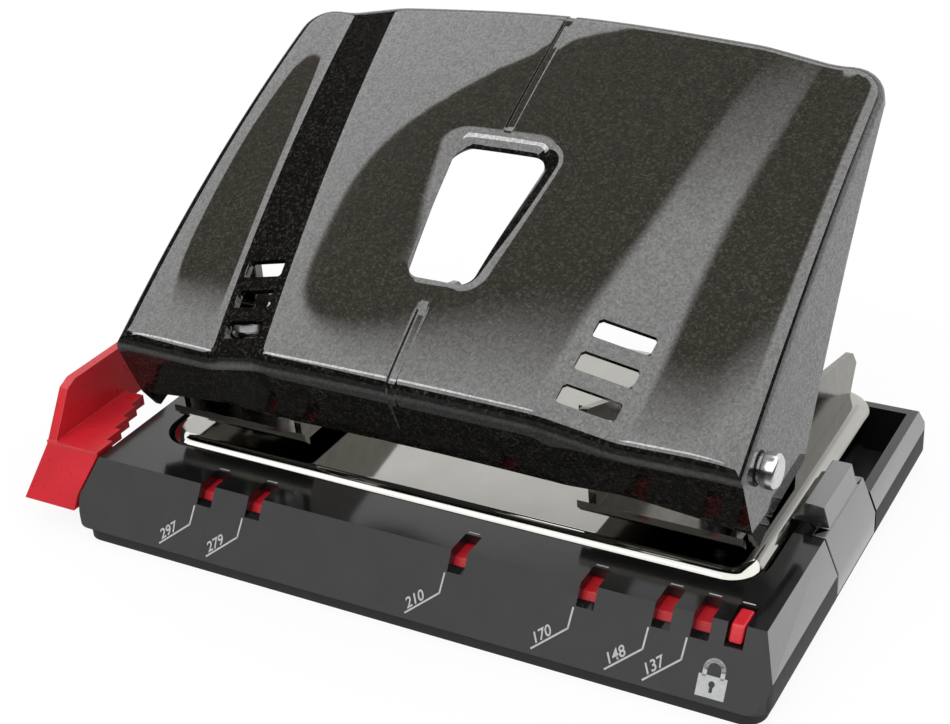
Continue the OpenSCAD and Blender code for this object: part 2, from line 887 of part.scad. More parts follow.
function side_point(k, s, inner) =
    let (r = side_r - inner)
    let (turn = 30 * (k - edge_line))
    k == line_count
        ? concat([half_at(s) - inner], skin(s < fold_r ? s - flange_end * tan(flange_lean) : s, -wall_depth(s)))
        : concat([half_at(s) - side_r + r * sin(turn)],
            skin(s, flat_n(edge_line, s) - side_r + r * cos(turn)));

// The side wall reaches further to the front than the flat skin does
function side_s(j) = j == first_row ? 0.2 : row_s(j);

function half_point(k, j, inner) =
    k > edge_line ? side_point(k, side_s(j), inner) :
    j < first_row ? front_point(k, j, flat_x(k, 0), inner) :
    j > last_row ? rear_point(k, j, flat_x(k, handle_l), inner) :
    concat([flat_x(k, row_s(j))], skin(row_s(j), flat_n(k, row_s(j)) + mark(k, j) - inner));

function sheet_point(i, j, inner) =
    let (p = half_point(abs(i - line_count), j, inner))
    i < line_count ? [-p[0], p[1], p[2]] : p;

columns = 2 * line_count + 1;
rows = row_count + 1;

// A cell of the grid is left out at the window and where the side walls stop
function has_cell(i, j) =
    let (k = max(abs(i - line_count), abs(i + 1 - line_count)))
    i >= 0 && j >= 0 && i < columns - 1 && j < rows - 1
        && !(k <= 2 && j >= window_row0 && j < window_row1)
        && !(k > edge_line && (j < first_row || j >= last_row));

function corner(i, j, layer) = (layer * rows + j) * columns + i;

function quad(a, b, c, d) = [[a, b, c], [a, c, d]];

sheet_points = [
    for (layer = [0, handle_t])
        for (j = [0 : rows - 1])
            for (i = [0 : columns - 1])
                half_exists(i, j) ? sheet_point(i, j, layer) : [0, nose_y, nose_z]];

// The side lines have no points in the folds
function half_exists(i, j) =
    abs(i - line_count) <= edge_line || (j >= first_row && j <= last_row);

sheet_faces = [
    for (j = [0 : rows - 2])
        for (i = [0 : columns - 2])
            if (has_cell(i, j))
                for (f = concat(
                    quad(corner(i, j, 0), corner(i, j + 1, 0), corner(i + 1, j + 1, 0), corner(i + 1, j, 0)),
                    quad(corner(i, j, 1), corner(i + 1, j, 1), corner(i + 1, j + 1, 1), corner(i, j + 1, 1)),
                    has_cell(i - 1, j) ? [] : rim_faces(i, j + 1, i, j),
                    has_cell(i + 1, j) ? [] : rim_faces(i + 1, j, i + 1, j + 1),
                    has_cell(i, j - 1) ? [] : rim_faces(i, j, i + 1, j),
                    has_cell(i, j + 1) ? [] : rim_faces(i + 1, j + 1, i, j + 1)))
                    f];

// Closes the sheet's edge between its outer and inner side
function rim_faces(i0, j0, i1, j1) =
    quad(corner(i0, j0, 0), corner(i1, j1, 0), corner(i1, j1, 1), corner(i0, j0, 1));

slot_margin = 1.1;
slot_under = 10;
slot_over = 2;

module slot_cut(s) {
    at = skin(s, 0);
    translate([panel_x(s), at[0], at[1]])
        rotate([slope(s), 0, 0])
            translate([slot_margin, -slot_l / 2, -slot_under])
                cube([flank_w - 2 * slot_margin, slot_l, slot_under + slot_over]);
}

module handle_shell() {
    color("#57534d")
        difference() {
            polyhedron(sheet_points, sheet_faces);
            for (i = [0 : 2]) {
                slot_cut(slot_s + i * slot_pitch);
                left_of()
                    slot_cut(slot_s + i * slot_pitch);
            }
            translate([0, pivot_y, pivot_z])
                rotate([0, 90, 0])
                    cylinder(h = 2 * far, d = pivot_d + 2 * fit, center = true);
        }
}

// Pressers: folded strips under the skin that bear on the punch pins

presser_w = 6;
presser_t = 2;
presser_pad = 6;
presser_gap = 0.25;
presser_off = 0.6;
presser_s = handle_l * 0.4;

// Distance along the skin of a point that lies n off the skin, over a place in Y
function s_over(y, n) = (front_slope - asin((bow_y - y) / (handle_bow + n))) * PI / 180 * handle_bow;

module right_presser() {
    low_n = max(blend(foot_front, foot_rear, presser_s), blend(edge_front, edge_rear, presser_s));
    under = -low_n - handle_t - presser_gap;
    s = s_over(punch_y, under);
    a = skin(s - presser_pad, under);
    b = skin(s + presser_pad, under);
    c = skin(s + presser_pad, under - presser_t);
    d = skin(s - presser_pad, under - presser_t);
    nose = pivot_z + presser_r;
    root = skin(s, under - presser_t / 2)[1];
    x0 = punch_x + presser_off - presser_w / 2;
    x1 = punch_x + presser_off + presser_w / 2;
    color("#6d6a66")
        union() {
            along_x(x0, x1)
                polygon([a, b, c, d]);
            along_x(x0, x1)
                translate([punch_y - presser_t / 2, nose])
                    square([presser_t, root - nose]);
            along_x(x0, x1)
                translate([punch_y, nose])
                    circle(presser_r);
        }
}

module left_presser() {
    left_of()
        right_presser();
}

chip_tray();
left_latch();
right_latch();
paper_guide();
guide_click();
deck_plate();
left_bracket();
right_bracket();
bracket_rivets();
left_pivot_pin();
right_pivot_pin();
pivot_clips();
left_bush();
right_bush();
left_punch_pin();
right_punch_pin();
left_spring();
right_spring();
handle_shell();
left_presser();
right_presser();
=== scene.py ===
import math
import bpy
import bmesh
from mathutils import Matrix, Vector


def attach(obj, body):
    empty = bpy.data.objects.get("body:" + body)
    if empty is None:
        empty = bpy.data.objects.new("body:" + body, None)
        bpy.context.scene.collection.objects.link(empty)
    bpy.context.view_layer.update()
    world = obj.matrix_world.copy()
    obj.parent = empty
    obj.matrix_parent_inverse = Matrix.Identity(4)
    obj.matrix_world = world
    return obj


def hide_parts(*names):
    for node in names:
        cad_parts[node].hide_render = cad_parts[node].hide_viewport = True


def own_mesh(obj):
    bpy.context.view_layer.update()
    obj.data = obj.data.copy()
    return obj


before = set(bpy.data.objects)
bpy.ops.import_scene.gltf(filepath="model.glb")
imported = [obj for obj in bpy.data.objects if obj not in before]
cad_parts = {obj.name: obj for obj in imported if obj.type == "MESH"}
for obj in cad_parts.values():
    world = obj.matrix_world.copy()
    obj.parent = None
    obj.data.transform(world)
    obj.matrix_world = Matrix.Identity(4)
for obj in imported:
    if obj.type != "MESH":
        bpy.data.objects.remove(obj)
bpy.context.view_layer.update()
mm = 0.001
print("frame loaded")


# camera at the photograph's angle
cameraView = {
    "place": (114.89, -204.65, 150.87),      # mm
    "right": (0.8783, 0.4746, -0.0582),
    "up": (-0.1805, 0.4418, 0.8788),
    "back": (0.4428, -0.7613, 0.4737),
    "focal": 1744.2,                         # in pixels of a 950 wide frame
    "frameWidth": 950,
    "sensor": 36.0,
    "clip": (0.01, 50.0),                    # metres
}


def addCamera():
    v = cameraView
    data = bpy.data.cameras.new("camera")
    data.sensor_fit = "HORIZONTAL"
    data.sensor_width = v["sensor"]
    data.lens = v["focal"] / v["frameWidth"] * v["sensor"]
    data.clip_start, data.clip_end = v["clip"]
    cam = bpy.data.objects.new("camera", data)
    bpy.context.scene.collection.objects.link(cam)
    turn = Matrix((v["right"], v["up"], v["back"])).transposed()
    cam.matrix_world = Matrix.Translation(Vector(v["place"]) * mm) @ turn.to_4x4()
    bpy.context.scene.camera = cam


addCamera()
print("camera placed")


# shader helpers
def bareMaterial(name):
    mat = bpy.data.materials.new(name)
    mat.use_nodes = True
    tree = mat.node_tree
    tree.nodes.clear()
    return mat, tree, tree.nodes.new("ShaderNodeOutputMaterial")


def newMaterial(name):
    mat, tree, out = bareMaterial(name)
    shader = tree.nodes.new("ShaderNodeBsdfPrincipled")
    tree.links.new(shader.outputs["BSDF"], out.inputs["Surface"])
    return mat, tree, shader


def setSockets(node, values):
    for name, value in values.items():
        node.inputs[name].default_value = value


def feed(tree, socket, value):
    if isinstance(value, (int, float, tuple)):
        socket.default_value = value
    elif value is not None:
        tree.links.new(value, socket)


def mathOf(tree, operation, *values):
    node = tree.nodes.new("ShaderNodeMath")
    node.operation = operation
    for socket, value in zip(node.inputs, values):
        feed(tree, socket, value)
    return node.outputs[0]


def vectorOf(tree, operation, first, second=None, scale=None):
    node = tree.nodes.new("ShaderNodeVectorMath")
    node.operation = operation
    feed(tree, node.inputs[0], first)
    feed(tree, node.inputs[1], second)
    if scale is not None:
        node.inputs["Scale"].default_value = scale
    return node.outputs["Vector"]


def axesOf(tree, vector):
    split = tree.nodes.new("ShaderNodeSeparateXYZ")
    tree.links.new(vector, split.inputs["Vector"])
    return split.outputs


def objectCoords(tree, stretch=(1, 1, 1)):
    coords = tree.nodes.new("ShaderNodeTexCoord")
    mapping = tree.nodes.new("ShaderNodeMapping")
    mapping.inputs["Scale"].default_value = stretch
    tree.links.new(coords.outputs["Object"], mapping.inputs["Vector"])
    return mapping.outputs["Vector"]


def noiseOf(tree, scale, detail=2.0, rough=0.5, stretch=(1, 1, 1)):
    noise = tree.nodes.new("ShaderNodeTexNoise")
    setSockets(noise, {"Scale": scale, "Detail": detail, "Roughness": rough})
    tree.links.new(objectCoords(tree, stretch), noise.inputs["Vector"])
    return noise.outputs["Fac"]


def ramp(tree, fac, stops):
    node = tree.nodes.new("ShaderNodeValToRGB")
    band = node.color_ramp
    while len(band.elements) < len(stops):
        band.elements.new(0.5)
    for element, (place, colour) in zip(band.elements, stops):
        element.position = place
        element.color = (*colour, 1)
    tree.links.new(fac, node.inputs["Fac"])
    return node.outputs["Color"]


def spread(tree, fac, to, start=(0.0, 1.0), eased=False):
    node = tree.nodes.new("ShaderNodeMapRange")
    if eased:
        node.interpolation_type = "SMOOTHSTEP"
    setSockets(node, {"From Min": start[0], "From Max": start[1], "To Min": to[0], "To Max": to[1]})
    tree.links.new(fac, node.inputs["Value"])
    return node.outputs["Result"]


def twoTone(tree, shader, clouds, dark, light):
    colour = ramp(tree, clouds, ((0.3, dark), (0.7, light)))
    tree.links.new(colour, shader.inputs["Base Color"])


def bump(tree, shader, height, strength, distance):
    node = tree.nodes.new("ShaderNodeBump")
    setSockets(node, {"Strength": strength, "Distance": distance})
    tree.links.new(height, node.inputs["Height"])
    tree.links.new(node.outputs["Normal"], shader.inputs["Normal"])


# metallic paint: fine flakes, each a little askew, under a clear coat
paintMix = {
    "flakeScale": 3300, "askew": 0.55,
    "flakes": ((0.0, (0.0030, 0.0026, 0.0020)), (0.6, (0.0065, 0.0058, 0.0046)),
               (1.0, (0.032, 0.0285, 0.0230))),
    "cloudScale": 1400, "rough": (0.36, 0.46), "metallic": 0.7, "shine": 0.1, "tint": 0.05,
    "undersideShadeCoat": (0.25, 1.0), "undersideShadeFacing": (-0.30, -0.02),   # painted shade: less coat on faces turned downwards, so the front flange renders dark
    "coatOnFlakes": (0.66, 1.0), "coatRough": 0.03, "coatIor": 2.1,
}


def handlePaint():
    p = paintMix
    mat, tree, shader = newMaterial("handlePaint")
    cells = tree.nodes.new("ShaderNodeTexVoronoi")
    cells.inputs["Scale"].default_value = p["flakeScale"]
    tree.links.new(objectCoords(tree), cells.inputs["Vector"])
    split = tree.nodes.new("ShaderNodeSeparateColor")
    tree.links.new(cells.outputs["Color"], split.inputs["Color"])
    tree.links.new(ramp(tree, split.outputs["Red"], p["flakes"]), shader.inputs["Base Color"])
    centred = vectorOf(tree, "SUBTRACT", cells.outputs["Color"], (0.5, 0.5, 0.5))
    askew = vectorOf(tree, "SCALE", centred, None, p["askew"])
    plain = tree.nodes.new("ShaderNodeNewGeometry")
    tilted = vectorOf(tree, "NORMALIZE", vectorOf(tree, "ADD", plain.outputs["Normal"], askew))
    tree.links.new(tilted, shader.inputs["Normal"])
    clouds = noiseOf(tree, p["cloudScale"])
    tree.links.new(spread(tree, clouds, p["rough"]), shader.inputs["Roughness"])
    facing = axesOf(tree, plain.outputs["Normal"])
    # painted shade: the coat weight falls where the normal points down, darkening the undersides
    undersideShade = spread(tree, facing["Z"], p["undersideShadeCoat"], p["undersideShadeFacing"])
    overFlakes = spread(tree, split.outputs["Green"], p["coatOnFlakes"])
    coat = mathOf(tree, "MULTIPLY", undersideShade, overFlakes)
    tree.links.new(coat, shader.inputs["Coat Weight"])
    setSockets(shader, {
        "Metallic": p["metallic"], "Specular IOR Level": p["shine"],
        "Specular Tint": (p["tint"], p["tint"], p["tint"], 1),
        "Coat Roughness": p["coatRough"], "Coat IOR": p["coatIor"],
    })
    return mat


# what all the black plastic faces share
plasticSkin = {
    "cloudScale": 240, "roughScale": 800, "grainDetail": 3.0, "grainHeight": 0.00004,
    "coatRough": 0.16, "coatIor": 2.2,
}


def blackPlastic(name, tone, rough, grain, depth, shine=0.5, coat=0.0):
    k = plasticSkin
    mat, tree, shader = newMaterial(name)
    dark, light = ((t, t, t) for t in tone)
    twoTone(tree, shader, noiseOf(tree, k["cloudScale"]), dark, light)
    tree.links.new(spread(tree, noiseOf(tree, k["roughScale"]), rough), shader.inputs["Roughness"])
    setSockets(shader, {
        "Specular IOR Level": shine, "Coat Weight": coat,
        "Coat Roughness": k["coatRough"], "Coat IOR": k["coatIor"],
    })
    bump(tree, shader, noiseOf(tree, grain, k["grainDetail"]), depth, k["grainHeight"])
    return mat


redPlastic = {
    "dark": (0.47, 0.012, 0.020), "light": (0.53, 0.015, 0.024), "cloudScale": 180,
    "rough": (0.24, 0.34), "roughScale": 900, "grain": 2200, "depth": 0.05, "grainHeight": 0.00003,
}


def guideRed():
    k = redPlastic
    mat, tree, shader = newMaterial("guideRed")
    twoTone(tree, shader, noiseOf(tree, k["cloudScale"]), k["dark"], k["light"])
    rough = spread(tree, noiseOf(tree, k["roughScale"]), k["rough"])
    tree.links.new(rough, shader.inputs["Roughness"])
    bump(tree, shader, noiseOf(tree, k["grain"]), k["depth"], k["grainHeight"])
    return mat


def steel(name, dark, light, rough, stretch=(1, 1, 1), grain=600):
    mat, tree, shader = newMaterial(name)
    twoTone(tree, shader, noiseOf(tree, grain, 3.0, 0.6, stretch), dark, light)
    finer = noiseOf(tree, grain * 1.7, 2.0, 0.5, stretch)
    tree.links.new(spread(tree, finer, rough), shader.inputs["Roughness"])
    shader.inputs["Metallic"].default_value = 1.0
    return mat


printInk = {"dark": (0.36, 0.37, 0.37), "light": (0.42, 0.43, 0.43), "cloudScale": 1600, "rough": 0.5}


def printGrey():
    k = printInk
    mat, tree, shader = newMaterial("printGrey")
    twoTone(tree, shader, noiseOf(tree, k["cloudScale"]), k["dark"], k["light"])
    shader.inputs["Roughness"].default_value = k["rough"]
    return mat


finish = {
    "handle": handlePaint(),
    "rim": blackPlastic("rimGloss", tone=(0.006, 0.009), rough=(0.08, 0.13),
                        grain=1500, depth=0.02, shine=0.8),
    "satin": blackPlastic("traySatin", tone=(0.036, 0.040), rough=(0.44, 0.55),
                          grain=4200, depth=0.25, shine=0.25),
    # painted light: one black plastic in a lighter glossy copy (painted sheen) for the upper side
    # facets and latches, and a darker matt copy (painted shade) for the lower side facets
    "paintedSheen": blackPlastic("trayPaintedSheen", tone=(0.030, 0.038), rough=(0.22, 0.30),
                          grain=2600, depth=0.06, shine=1.0, coat=1.0),
    "matt": blackPlastic("trayPaintedShade", tone=(0.012, 0.016), rough=(0.50, 0.60),
                         grain=4200, depth=0.25, shine=0.35),
    # painted shade: near-black matt plastic for the tray's lowest band, where its bottom edge lies in
    # shade
    "foot": blackPlastic("footPaintedShade", tone=(0.006, 0.009), rough=(0.60, 0.72),
                         grain=3000, depth=0.1),
    "red": guideRed(),
    "deck": steel("deckNickel", dark=(0.43, 0.425, 0.395), light=(0.48, 0.475, 0.445),
                  rough=(0.05, 0.09), grain=90),
    "bracket": steel("bracketSteel", dark=(0.15, 0.142, 0.125), light=(0.20, 0.190, 0.168),
                     rough=(0.12, 0.18)),
    "pin": steel("pinSteel", dark=(0.64, 0.64, 0.64), light=(0.76, 0.76, 0.76),
                 rough=(0.16, 0.26), stretch=(1, 1, 3)),
    "spring": steel("springWire", dark=(0.36, 0.36, 0.37), light=(0.46, 0.46, 0.47),
                    rough=(0.2, 0.3)),
    "print": printGrey(),
}
print("finishes made")


# piece helpers
cadClean = {"merge": 0.002, "flatAngle": 1.5, "sharpAngle": 30}     # mm and degrees


def linkedMesh(name, bm, materials):
    mesh = bpy.data.meshes.new(name)
    bm.to_mesh(mesh)
    bm.free()
    for mat in materials:
        mesh.materials.append(mat)
    obj = bpy.data.objects.new(name, mesh)
    bpy.context.scene.collection.objects.link(obj)
    return obj


def addPiece(name, bm, materials, body, slotName, *nodes):
    for face in bm.faces:
        face.smooth = True
    obj = linkedMesh(name, bm, materials)
    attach(obj, body)
    if nodes:
        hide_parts(*nodes)
    return obj


def evenNormals(obj):
    mod = obj.modifiers.new("evenNormals", "WEIGHTED_NORMAL")
    mod.keep_sharp = True
    return obj


def thicken(obj, name, thickness):
    mod = obj.modifiers.new(name, "SOLIDIFY")
    mod.thickness = thickness * mm
    mod.offset = -1


def cadCopy(node):
    bm = bmesh.new()
    bm.from_mesh(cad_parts[node].data)
    bmesh.ops.remove_doubles(bm, verts=bm.verts, dist=cadClean["merge"] * mm)
    bmesh.ops.dissolve_limit(bm, angle_limit=math.radians(cadClean["flatAngle"]),
                             use_dissolve_boundaries=False,
                             verts=bm.verts, edges=bm.edges, delimit=set())
    return bm


def softenEdges(bm, width, segments):
    least = math.radians(cadClean["sharpAngle"])
    sharp = [e for e in bm.edges if len(e.link_faces) == 2 and e.calc_face_angle(0) > least]
    bmesh.ops.bevel(bm, geom=sharp, offset=width, offset_type="OFFSET", segments=segments,
                    profile=0.5, affect="EDGES", clamp_overlap=True, material=-1)


def softCopy(node, finishes, body, slotName, width, segments=2):
    bm = cadCopy(node)
    softenEdges(bm, width * mm, segments)
    return evenNormals(addPiece(node + ".soft", bm, finishes, body, slotName, node))


# handle: one pressed sheet, sizes in mm; s runs along the skin from the front fold to the rear
handleSheet = {
    "halfWidth": 50.1, "rearIn": 0.7, "length": 70.96, "thickness": 1.0,
    "bow": 300.0, "frontSlope": 36.0, "noseY": -31.3, "noseZ": 35.9,
    "crownFront": 0.4, "crownRear": 1.9, "crownFlat": 20.0,
    "panelHalf": 21.9, "spread": 0.13, "flankWidth": 10.2, "crease": 1.5,
    # share of the skin's height taken at each sideways step of the crease's width
    "creaseBlend": ((-1, 0.125), (-0.5, 0.25), (0, 0.25), (0.5, 0.25), (1, 0.125)),
    "footFront": 4.4, "footRear": 4.1, "edgeFront": 3.6, "edgeRear": 4.05,
    "shoulder": 0.085, "shoulderFront": 3.4, "shoulderRear": 0.6,
    "sideRadius": 2.3, "foldRadius": 2.2, "rearRadius": 2.2, "rearRadiusFrom": 30.0,
    "cornerRadius": 5.5, "flangeMid": 12.4, "flangeEnd": 15.6, "flangeLean": 0.27, "rearLip": 4.5,
    "wallFront": 20.3, "wallDeep": 28.2, "wallDeepAt": 15.0, "wallRear": 5.3, "wallLeast": 1.0,
    "windowAt": 17.9, "windowLength": 24.1, "windowHalf": 5.15, "windowSpread": 0.105,
    "windowCorner": 2.2, "rollRadius": 3.9, "rollFront": 0.6, "rollRear": 1.7,
    "rings": (0.35, 0.75, 1.15, 1.6, 2.0, 2.4, 2.8, 3.2, 3.65, 4.1, 5.2), "roundTo": 3.9,
    "grooveFlat": 0.58, "grooveHalf": 0.82, "grooveDepth": 0.40,
    "frontGroove": (0.9, 2.1, 12.8, 13.9), "rearGroove": (44.8, 45.8, 68.0, 70.0),
    "slots": (5.2, 10.45, 15.7), "slotLength": 2.9, "slotInset": 1.2, "slotBlunt": 0.2,
    "slotRows": (-1, -0.7, 0.7, 1), "edgeBevel": 0.22, "edgeAngle": 40, "merge": 0.04,
    # columns and rows of the grid
    "grooveColumns": (0.0, 0.3, 0.55, 0.62, 0.70, 0.78, 0.85),
    "creaseColumns": (-1.2, -0.8, -0.4, 0.0, 0.4, 0.8, 1.2, 1.6),
    "insideSteps": 4, "windowSteps": 4, "panelSteps": 12, "flankSteps": 7, "rimSteps": 5,
    "arcSteps": 8, "wallSteps": 9, "wallTail": 2, "cornerSteps": 7, "rowStep": 0.8,
}


def lerp(a, b, t):
    return a + (b - a) * t


def smooth(a, b, x):
    t = min(1.0, max(0.0, (x - a) / (b - a)))
    return t * t * (3 - 2 * t)


def steps(a, b, count):
    return [lerp(a, b, (i + 1) / count) for i in range(count)]


def skinPoint(s, n):
    # the bow is an arc; n is the height over it
    h = handleSheet
    nose = math.radians(h["frontSlope"])
    slope = nose - s / h["bow"]
    bowY = h["noseY"] + h["bow"] * math.sin(nose)
    bowZ = h["noseZ"] - h["bow"] * math.cos(nose)
    r = h["bow"] + n
    return bowY - r * math.sin(slope), bowZ + r * math.cos(slope)


def panelX(s):
    return handleSheet["panelHalf"] + s * handleSheet["spread"]


def windowX(s):
    h = handleSheet
    return h["windowHalf"] + (s - h["windowAt"]) * h["windowSpread"]


def halfAt(s):
    return handleSheet["halfWidth"] - handleSheet["rearIn"] * s / handleSheet["length"]


def edgeLevel(s):
    return -lerp(handleSheet["edgeFront"], handleSheet["edgeRear"], s / handleSheet["length"])


def plainDrop(x, s):
    # crowned panel, slanted flank, then the side that turns down at its shoulder
    h = handleSheet
    x = abs(x)
    share = s / h["length"]
    panel = panelX(s)
    foot = panel + h["flankWidth"]
    crown = lerp(h["crownFront"], h["crownRear"], share)
    footDrop = lerp(h["footFront"], h["footRear"], share)
    if x <= panel:
        flat = h["crownFlat"]
        return -crown * (math.hypot(x, flat) - flat) / (math.hypot(panel, flat) - flat)
    if x <= foot:
        return lerp(-crown, -footDrop, (x - panel) / h["flankWidth"])
    wide = halfAt(s) - h["sideRadius"] - foot
    shoulder = lerp(h["shoulderFront"], h["shoulderRear"], share)
    turned = max(0.0, (x - foot - wide) / shoulder + 1)
    turned = turned ** 2 if turned < 1 else 2 * turned - 1
    side = lerp(-footDrop, edgeLevel(s), (x - foot) / wide)
    return side - h["shoulder"] * shoulder * turned


def windowDistance(x, s):
    h = handleSheet
    corner, half = h["windowCorner"], h["windowLength"] / 2
    dx = abs(x) - windowX(s) + corner
    ds = abs(s - h["windowAt"] - half) - half + corner
    return math.hypot(max(dx, 0), max(ds, 0)) + min(max(dx, ds), 0) - corner


def grooveShare(s):
    share = 0
    for a, b, c, d in (handleSheet["frontGroove"], handleSheet["rearGroove"]):
        share += smooth(a, b, s) * (1 - smooth(c, d, s))
    return share


def skinDrop(x, s):
    h = handleSheet
    drop = 0
    for shift, weight in h["creaseBlend"]:
        drop += weight * plainDrop(x + h["crease"] * shift, s)
    if abs(x) < h["grooveHalf"]:
        wall = 1 - smooth(h["grooveFlat"], h["grooveHalf"], abs(x))
        drop -= grooveShare(s) * h["grooveDepth"] * wall
    away = max(0.0, windowDistance(x, s))
    if away < h["rollRadius"]:
        inward = 1 - away / h["rollRadius"]
        share = smooth(h["windowAt"], h["windowAt"] + h["windowLength"], s)
        drop -= lerp(h["rollFront"], h["rollRear"], share) * inward ** 2
    return drop


def wallDepth(s):
    h = handleSheet
    least = h["sideRadius"] + h["wallLeast"] - edgeLevel(s)
    if s < h["wallDeepAt"]:
        return lerp(h["wallFront"], h["wallDeep"], s / h["wallDeepAt"])
    share = (s - h["wallDeepAt"]) / (h["length"] - h["wallDeepAt"])
    return max(least, lerp(h["wallDeep"], h["wallRear"], share))


def spaced(keys, step):
    rows = [keys[0]]
    for a, b in zip(keys, keys[1:]):
        rows += steps(a, b, max(1, round((b - a) / step)))
    return rows


def handleRows():
    # the rows that ring the window keep their count, so its corners can be turned
    h = handleSheet
    first, last = h["windowAt"], h["windowAt"] + h["windowLength"]
    turn, count = h["windowCorner"], h["windowSteps"]
    before = [first - d for d in reversed(h["rings"])] + [first] + steps(first, first + turn, count)
    behind = steps(last - turn, last, count) + [last + d for d in h["rings"]]
    keys = [h["foldRadius"], before[0]]
    for s in h["slots"]:
        keys += [s + share * h["slotLength"] / 2 for share in h["slotRows"]]
    front = spaced(sorted(k for k in keys if k <= before[0]), h["rowStep"])
    middle = spaced([before[-1], last - turn], h["rowStep"])
    rear = spaced([behind[-1], h["length"] - h["cornerRadius"]], h["rowStep"])
    return front + before[1:] + middle[1:] + behind + rear[1:]


def handleColumns(s, edge):
    # from the middle groove outwards to the flat edge
    h = handleSheet
    window = windowX(s)
    panel = panelX(s)
    foot = panel + h["flankWidth"]
    reach = h["creaseColumns"][-1]
    corner = window - h["windowCorner"]
    xs = list(h["grooveColumns"])
    xs += steps(xs[-1], corner, h["insideSteps"]) + steps(corner, window, h["windowSteps"])
    xs += [window + d for d in h["rings"]]
    xs += steps(window + h["rings"][-1], panel - reach, h["panelSteps"])
    xs += [panel + d for d in h["creaseColumns"]]
    xs += steps(panel + reach, foot - reach, h["flankSteps"])
    xs += [foot + d for d in h["creaseColumns"]]
    return xs + steps(foot + reach, edge, h["rimSteps"])


def makeHandle():
    h = handleSheet
    arc, wall, tail, bend = h["arcSteps"], h["wallSteps"], h["wallTail"], h["cornerSteps"]
    rows = handleRows()
    flatEdge = h["halfWidth"] - h["sideRadius"]
    flat = len(handleColumns(0.0, flatEdge)) - 1
    half = flat + arc + wall + tail
    frontRows = arc + wall
    skinRows = len(rows) - 1 + bend
    rearRows = arc + wall + tail
    total = frontRows + skinRows + rearRows
    angles = [math.radians(90 * i / arc) for i in range(arc + 1)]
    lastS = h["length"] - h["cornerRadius"]
    frontS = h["foldRadius"]
    frontEdge = skinDrop(flatEdge, frontS)
    frontLevels = [skinDrop(x, frontS) for x in handleColumns(frontS, flatEdge)]

    def sideRadius(s):
        return lerp(h["sideRadius"], h["rearRadius"], smooth(h["rearRadiusFrom"], lastS, s))

    def foldBack(d):
        r = h["foldRadius"]
        forward = h["flangeLean"] * min(d, h["flangeEnd"] - h["edgeFront"])
        if d >= r:
            return -forward
        return r - math.sqrt(r ** 2 - (r - d) ** 2) - forward

    def sideOut(d, r):
        if d >= r:
            return h["halfWidth"]
        return h["halfWidth"] - r + math.sqrt(r * r - (r - d) ** 2)

    def flangeBottom(x):
        return h["flangeMid"] + (h["flangeEnd"] - h["flangeMid"]) * (x / flatEdge) ** 2

    # depths down the front corner: round the fold, down the flange, on to the wall's tip
    flangeTip = flangeBottom(h["halfWidth"]) + frontEdge
    frontDepths = [h["sideRadius"] * (1 - math.cos(a)) for a in angles]
    frontDepths += steps(h["sideRadius"], flangeTip, wall)
    frontDepths += steps(flangeTip, h["wallFront"] + frontEdge, tail)

    def sidePoint(k, s, phi):
        # k counts from the flat edge outwards and down; phi turns round the rear corner
        r = sideRadius(s)
        inner = h["cornerRadius"] - r
        level = skinDrop(halfAt(s) - h["cornerRadius"] + inner * math.cos(phi),
                         s + inner * math.sin(phi))
        deep = lerp(wallDepth(s) + level, h["rearLip"], math.sin(phi))
        if k <= arc:
            out, depth = r * math.sin(angles[k]), r * (1 - math.cos(angles[k]))
        else:
            out, depth = r, lerp(r, deep, (k - arc) / (wall + tail))
        if phi <= 0:
            return halfAt(s) - r + out, s, level - depth
        around = h["cornerRadius"] - r + out
        return (halfAt(lastS) - h["cornerRadius"] + around * math.cos(phi),
                lastS + around * math.sin(phi), level - depth)

    def rowAt(s):
        return frontRows + min(range(len(rows)), key=lambda i: abs(rows[i] - s))

    slotHalf = h["slotLength"] / 2
    slotRows = [(rowAt(s - slotHalf), rowAt(s + slotHalf)) for s in h["slots"]]
    windowEnd = h["windowAt"] + h["windowLength"]
    windowFirst, windowLast = rowAt(h["windowAt"]), rowAt(windowEnd)
    windowColumn = len(h["grooveColumns"]) - 1 + h["insideSteps"] + h["windowSteps"]
    creases = h["creaseColumns"]
    panelColumn = windowColumn + len(h["rings"]) + h["panelSteps"] + 1
    footColumn = panelColumn + len(creases) + h["flankSteps"]
    slotStart = panelColumn + creases.index(h["slotInset"])
    slotEnd = footColumn + creases.index(-h["slotInset"])

    def roundCorner(c, j, x, s):
        # grid corners round the window turn on to arcs about the centre of the window's corner
        turn, count = h["windowCorner"], h["windowSteps"]
        a = c - windowColumn + count
        for end, row, way in ((h["windowAt"], windowFirst, -1), (windowEnd, windowLast, 1)):
            b = (j - row) * way + count
            ring = max(a, b) - count
            if a < 0 or b < 0 or ring < 0 or ring > len(h["rings"]):
                continue
            away = h["rings"][ring - 1] if ring else 0.0
            angle = math.pi / 4 * (b / a if a >= b else 2 - a / b)
            cs = end - way * turn
            cx = windowX(cs) - turn
            share = 1 - smooth(h["roundTo"], h["rings"][-1], away)
            return (lerp(x, cx + (turn + away) * math.cos(angle), share),
                    lerp(s, cs + way * (turn + away) * math.sin(angle), share))
        return x, s

    def blunt(c, j):
        # corners of a slot come in a little both ways
        for first, last in slotRows:
            if c in (slotStart, slotEnd) and j in (first, last):
                return (h["slotBlunt"] if c == slotStart else -h["slotBlunt"],
                        h["slotBlunt"] if j == first else -h["slotBlunt"])
        return 0.0, 0.0

    def flangePoint(c, i):
        # front fold and flange, i counted from the fold down
        edge = sideOut(frontDepths[i], h["sideRadius"])
        x = handleColumns(frontS, edge)[c]
        level = frontLevels[c]
        if i <= arc:
            depth = frontDepths[i]
        else:
            depth = lerp(h["sideRadius"], flangeBottom(x) + level, (i - arc) / wall)
        return x, foldBack(depth), level - depth

    def topPoint(c, j, i):
